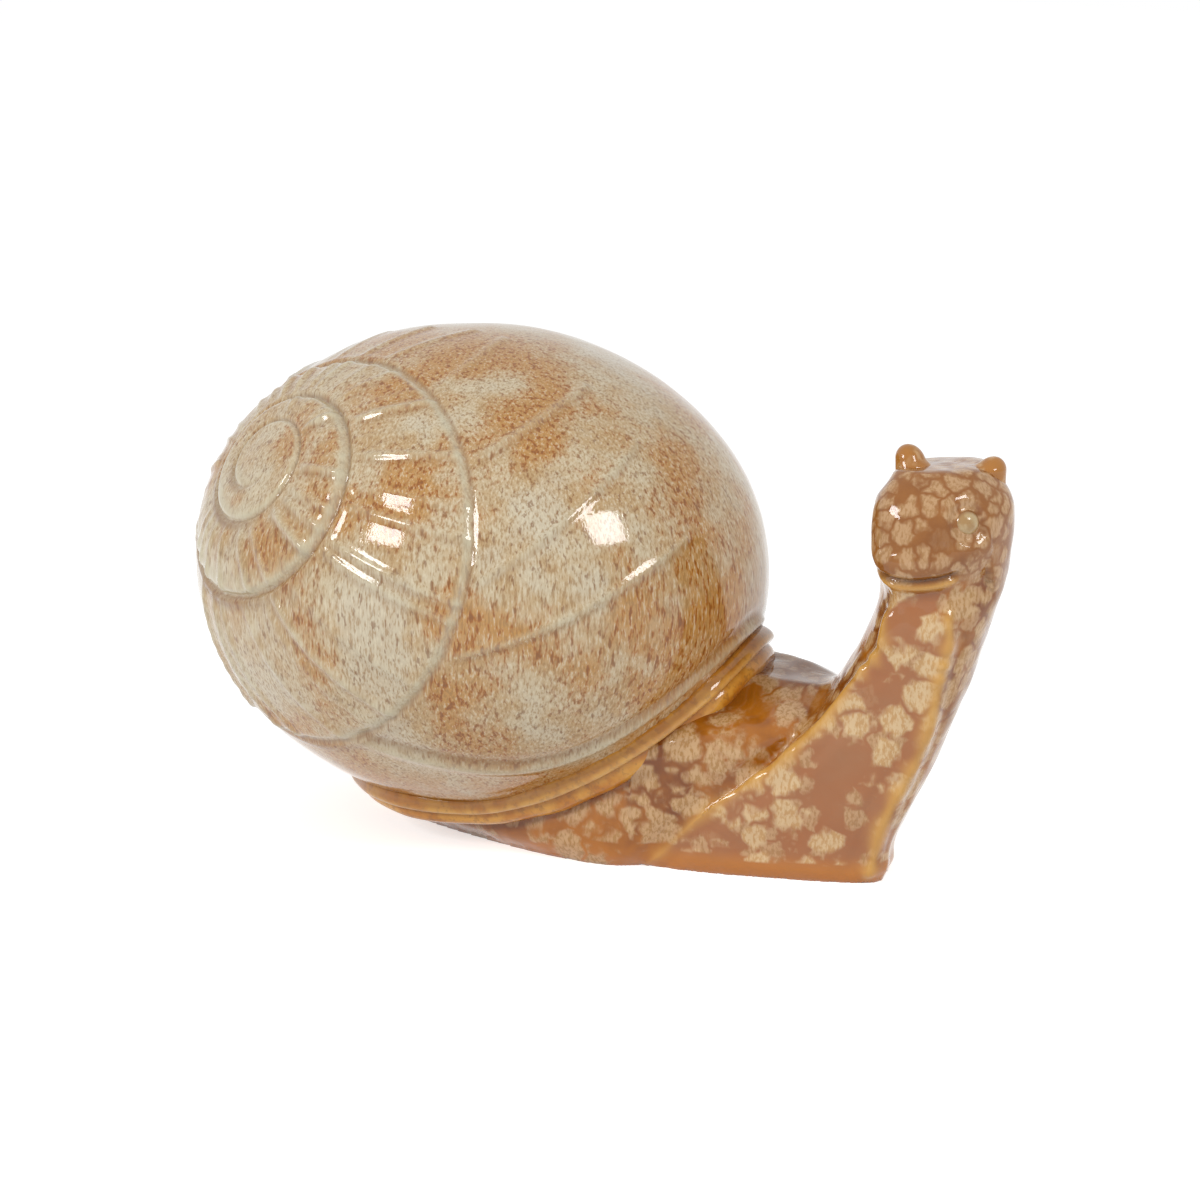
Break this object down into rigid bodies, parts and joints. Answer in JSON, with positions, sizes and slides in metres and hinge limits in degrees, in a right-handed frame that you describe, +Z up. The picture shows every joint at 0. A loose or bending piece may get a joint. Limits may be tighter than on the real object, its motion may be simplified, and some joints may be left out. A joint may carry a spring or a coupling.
{
  "type": "ceramic snail figurine",
  "caption": "Free-standing glazed ceramic snail with a large rounded spiral shell, raised neck, two short horns and bead eyes, on a flat sole.",
  "frame": {"origin": "below the middle of the figurine's bounding box, on the plane of the sole", "axes": "+X towards the head end, +Y to the snail's left, +Z up"},
  "size_m": [0.2267, 0.136, 0.1322],
  "materials": {
    "body_glaze": "glossy amber glaze with pale speckled islands",
    "shell_glaze": "glossy cream glaze with rust streaks",
    "lip_glaze": "glossy honey glaze",
    "eye_glaze": "glossy tan glaze with a brown ring"
  },
  "bodies": {
    "root": {"body_casting": "body_glaze", "shell_casting": "shell_glaze", "lip_coil": "lip_glaze", "horn_right": "body_glaze", "horn_left": "body_glaze", "eye_right": "eye_glaze", "eye_left": "eye_glaze"}
  },
  "joints": []
}
